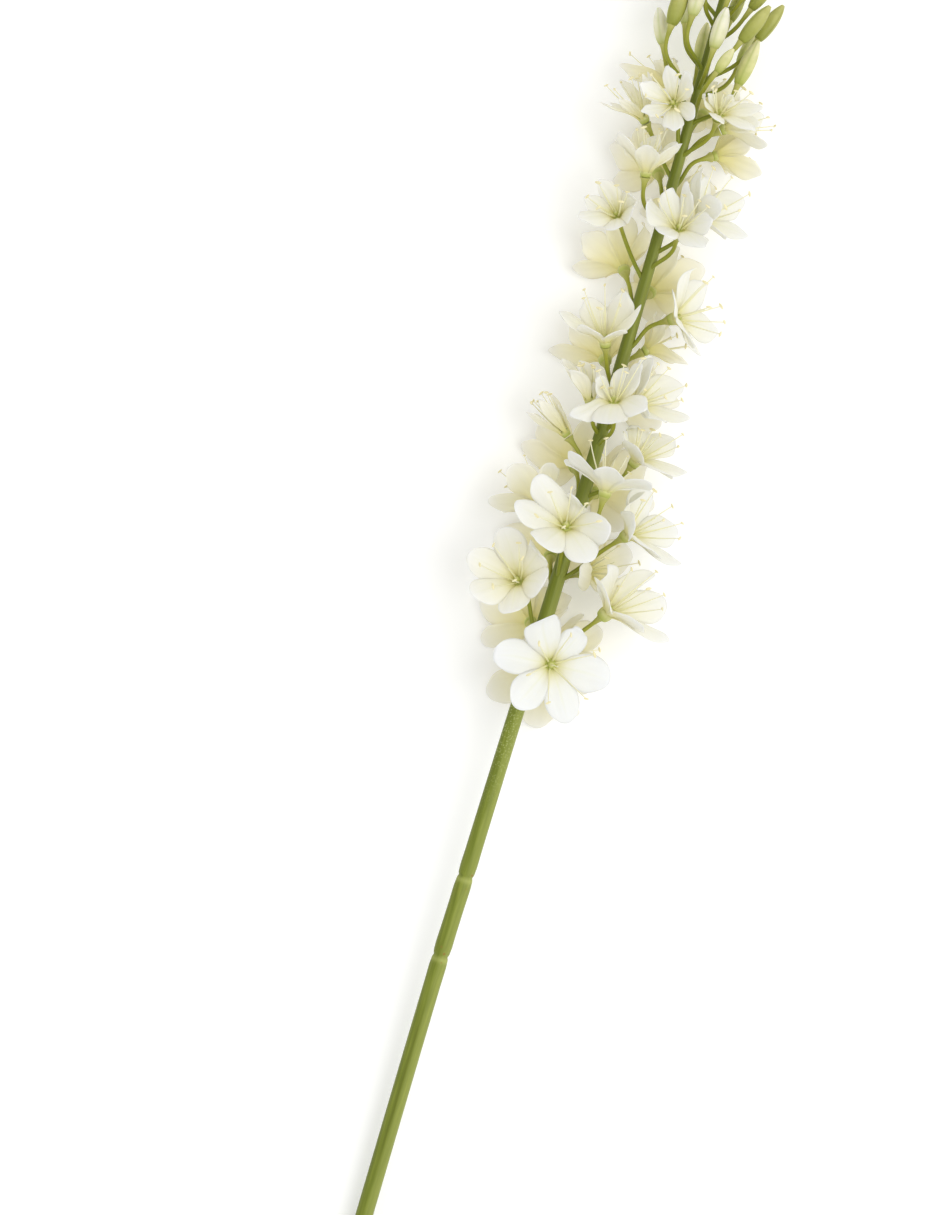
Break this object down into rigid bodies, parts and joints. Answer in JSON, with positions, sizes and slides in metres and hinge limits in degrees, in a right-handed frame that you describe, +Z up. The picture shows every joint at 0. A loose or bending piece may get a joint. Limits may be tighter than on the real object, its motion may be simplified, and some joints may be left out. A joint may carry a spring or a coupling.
{
  "type": "foxtail lily flower spike",
  "caption": "Cut foxtail lily spike lying on its side: a bare green stalk, a dense cylinder of open white star flowers with long stamens, then buds shrinking to a green tip.",
  "frame": {"origin": "on the surface that the spike lies on, below the middle of its outline seen from above", "axes": "+Y along the stalk, from its cut end to the tip of the spike; +X to the right seen from above with the tip ahead; +Z up from the surface"},
  "size_m": [0.0778, 0.6587, 0.0599],
  "materials": {
    "petal_white": "soft white petal, cream at the base",
    "bud_white": "closed white bud",
    "bud_cream": "closed cream bud",
    "bud_green": "closed green bud",
    "stem_green": "smooth green plant skin with a slight sheen"
  },
  "bodies": {
    "root": {"stem": "stem_green", "floret_01": "petal_white", "floret_02": "petal_white", "floret_03": "petal_white", "floret_04": "petal_white", "floret_05": "petal_white", "floret_06": "petal_white", "floret_07": "petal_white", "floret_08": "petal_white", "floret_09": "petal_white", "floret_10": "petal_white", "floret_11": "petal_white", "floret_12": "petal_white", "floret_13": "petal_white", "floret_14": "petal_white", "floret_15": "petal_white", "floret_16": "petal_white", "floret_17": "petal_white", "floret_18": "petal_white", "floret_19": "petal_white", "floret_20": "petal_white", "floret_21": "petal_white", "floret_22": "petal_white", "floret_23": "petal_white", "floret_24": "petal_white", "floret_25": "petal_white", "floret_26": "petal_white", "floret_27": "petal_white", "floret_28": "petal_white", "floret_29": "petal_white", "floret_30": "petal_white", "floret_31": "petal_white", "floret_32": "petal_white", "floret_33": "petal_white", "floret_34": "petal_white", "floret_35": "petal_white", "floret_36": "petal_white", "floret_37": "petal_white", "floret_38": "petal_white", "floret_39": "petal_white", "bud_01": "bud_white", "bud_02": "bud_green", "bud_03": "bud_white", "bud_04": "bud_white", "bud_05": "bud_green", "bud_06": "bud_green", "bud_07": "bud_green", "bud_08": "bud_cream", "bud_09": "bud_cream", "bud_10": "bud_cream", "bud_11": "bud_cream", "bud_12": "bud_white", "bud_13": "bud_green", "bud_14": "bud_green", "bud_15": "bud_green", "bud_16": "bud_green", "bud_17": "bud_green"}
  },
  "joints": []
}
